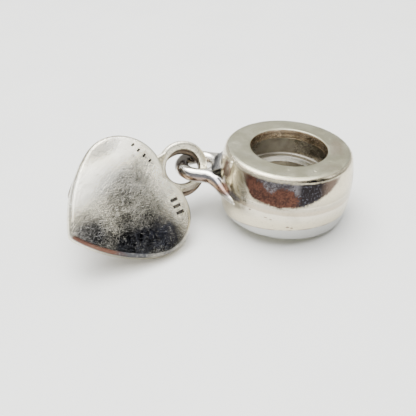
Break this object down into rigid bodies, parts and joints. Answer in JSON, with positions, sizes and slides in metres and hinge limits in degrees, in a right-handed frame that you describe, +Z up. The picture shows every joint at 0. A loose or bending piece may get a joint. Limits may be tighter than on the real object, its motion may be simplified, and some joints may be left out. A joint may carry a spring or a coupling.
{
  "type": "double heart pendant charm",
  "caption": "Short silver barrel bead for a bracelet, with a soldered bail ring that carries two cast hearts.",
  "frame": {"origin": "middle of the bead's bore, on its axis", "axes": "+Z up as the pendant lies on a table, +X from the bail ring to the bead, +Y across"},
  "size_m": [0.0174, 0.0122, 0.0061],
  "materials": {
    "bead_silver": "worn polish",
    "heart_silver": "worn polish",
    "back_heart_silver": "dull, tarnished"
  },
  "bodies": {
    "root": {"carrier_bead": "bead_silver", "front_heart": "heart_silver", "back_heart": "back_heart_silver"}
  },
  "joints": []
}
